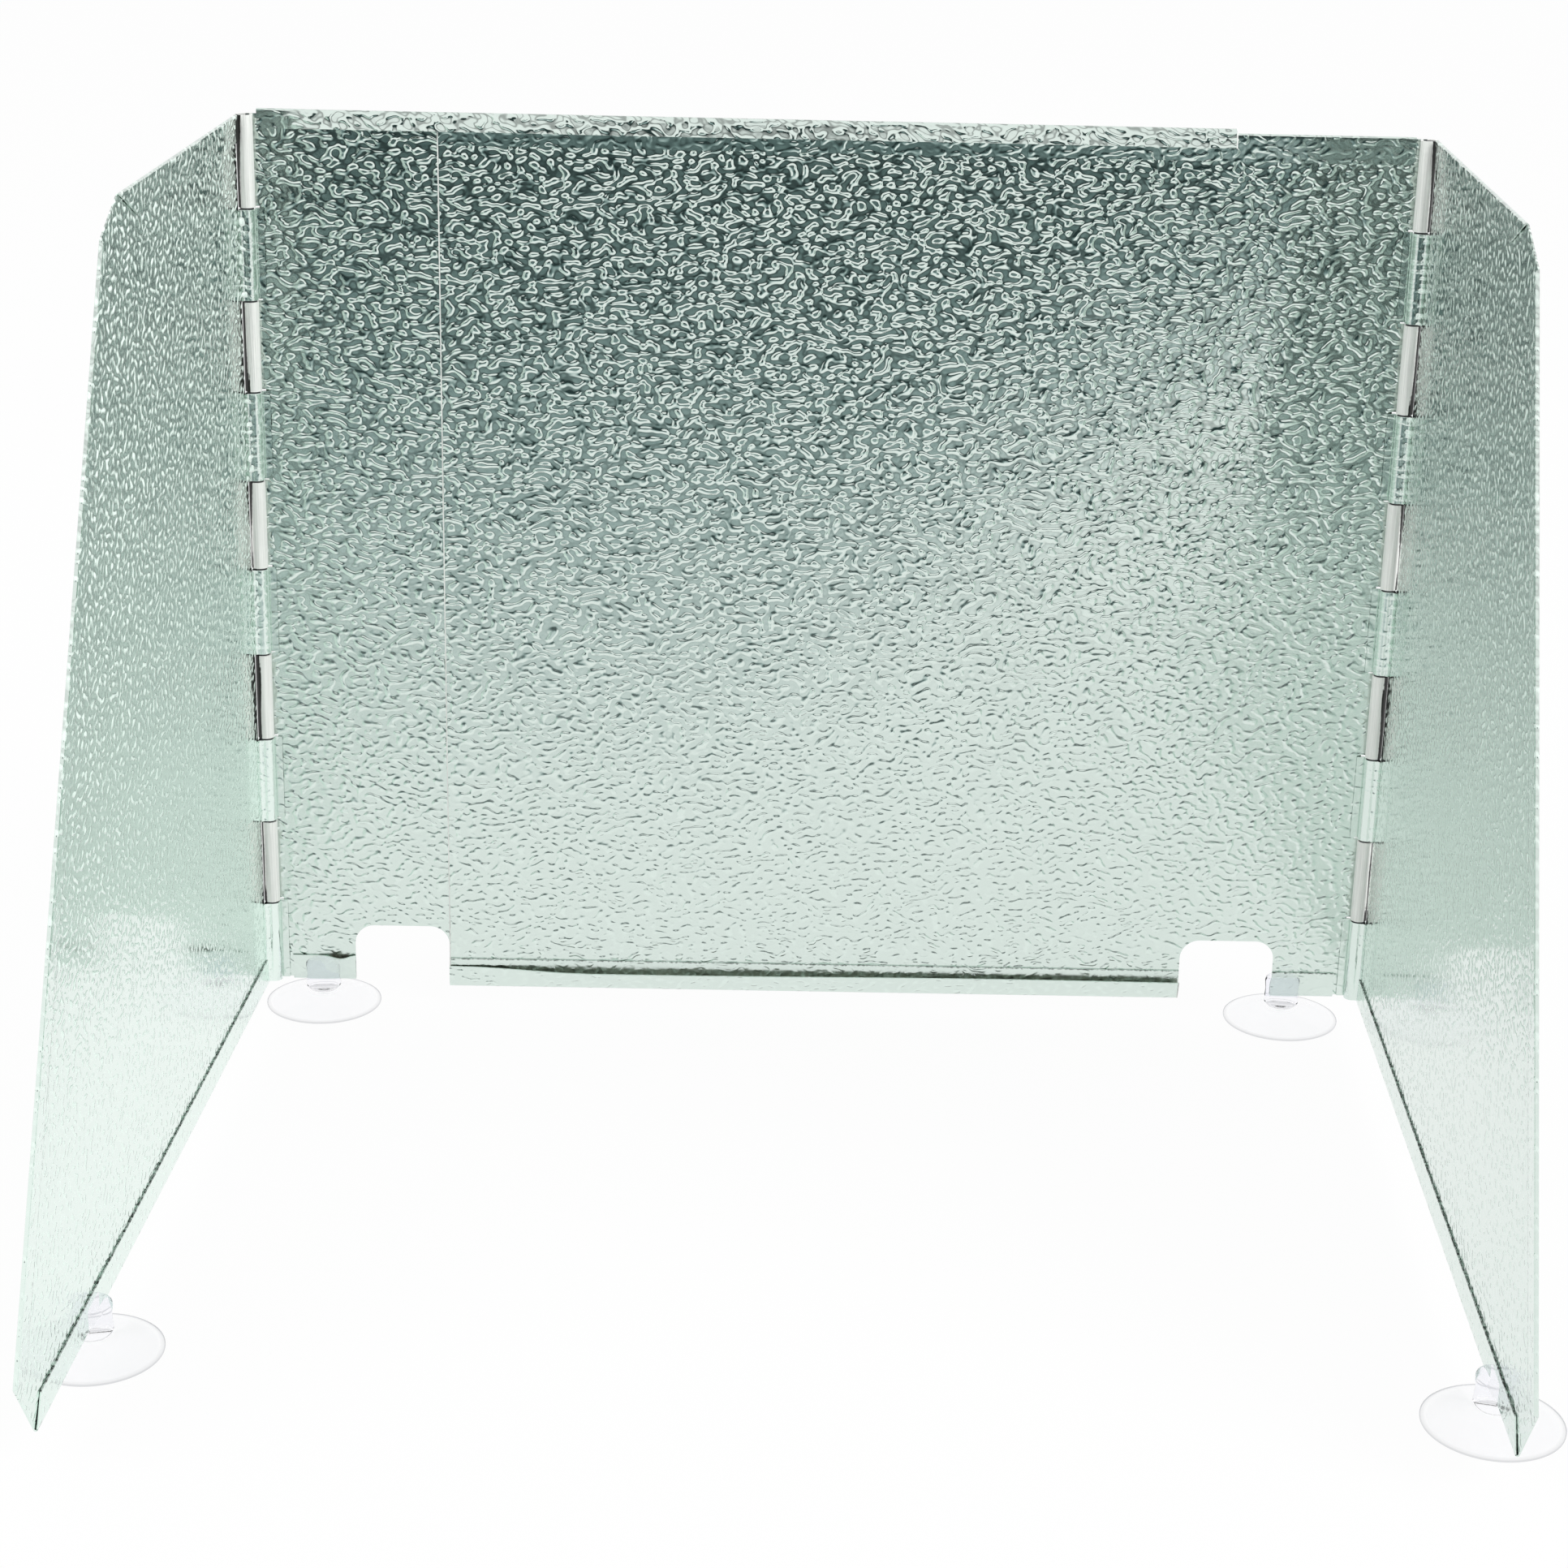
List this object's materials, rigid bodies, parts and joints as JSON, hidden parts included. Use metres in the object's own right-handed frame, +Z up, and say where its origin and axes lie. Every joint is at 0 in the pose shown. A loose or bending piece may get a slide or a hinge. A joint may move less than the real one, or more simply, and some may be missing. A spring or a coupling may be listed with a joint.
{
  "type": "stove windscreen",
  "caption": "Folding aluminium stove windscreen: a back panel whose sheets slide to change its width, hinged side wings and clear suction cups that hold it to the table.",
  "frame": {"origin": "on the ground, at the middle of the part's own box at rest", "axes": "+X along the back panel, to the right seen from the cooking side; +Y from the cooking side to the back panel; +Z up"},
  "size_m": [0.4418, 0.3448, 0.3205],
  "materials": {
    "embossed_sheet": "bright stucco-embossed sheet",
    "pin_wire": "dark drawn wire, dull",
    "clear_vinyl": "soft clear vinyl, glossy"
  },
  "bodies": {
    "left_back_panel": {"left_back_sheet": "embossed_sheet", "left_hinge_pin": "pin_wire", "back_left_cup": "clear_vinyl"},
    "right_back_panel": {"right_back_sheet": "embossed_sheet", "right_hinge_pin": "pin_wire", "back_right_cup": "clear_vinyl"},
    "left_wing_panel": {"left_wing": "embossed_sheet", "left_wing_cup": "clear_vinyl"},
    "right_wing_panel": {"right_wing": "embossed_sheet", "right_wing_cup": "clear_vinyl"}
  },
  "joints": [
    {"name": "back_width_slide", "type": "slide", "parent": "left_back_panel", "child": "right_back_panel", "axis": [1, 0, 0], "range_m": [0, 0.2]},
    {"name": "left_wing_hinge", "type": "hinge", "parent": "left_back_panel", "child": "left_wing_panel", "pos_m": [-0.18271, 0.14978, 0.009], "axis": [0, 0, 1], "range_deg": [-86.4, 62.5]},
    {"name": "right_wing_hinge", "type": "hinge", "parent": "right_back_panel", "child": "right_wing_panel", "pos_m": [0.2073, 0.14898, 0.009], "axis": [0, 0, -1], "range_deg": [-91.9, 81]}
  ]
}
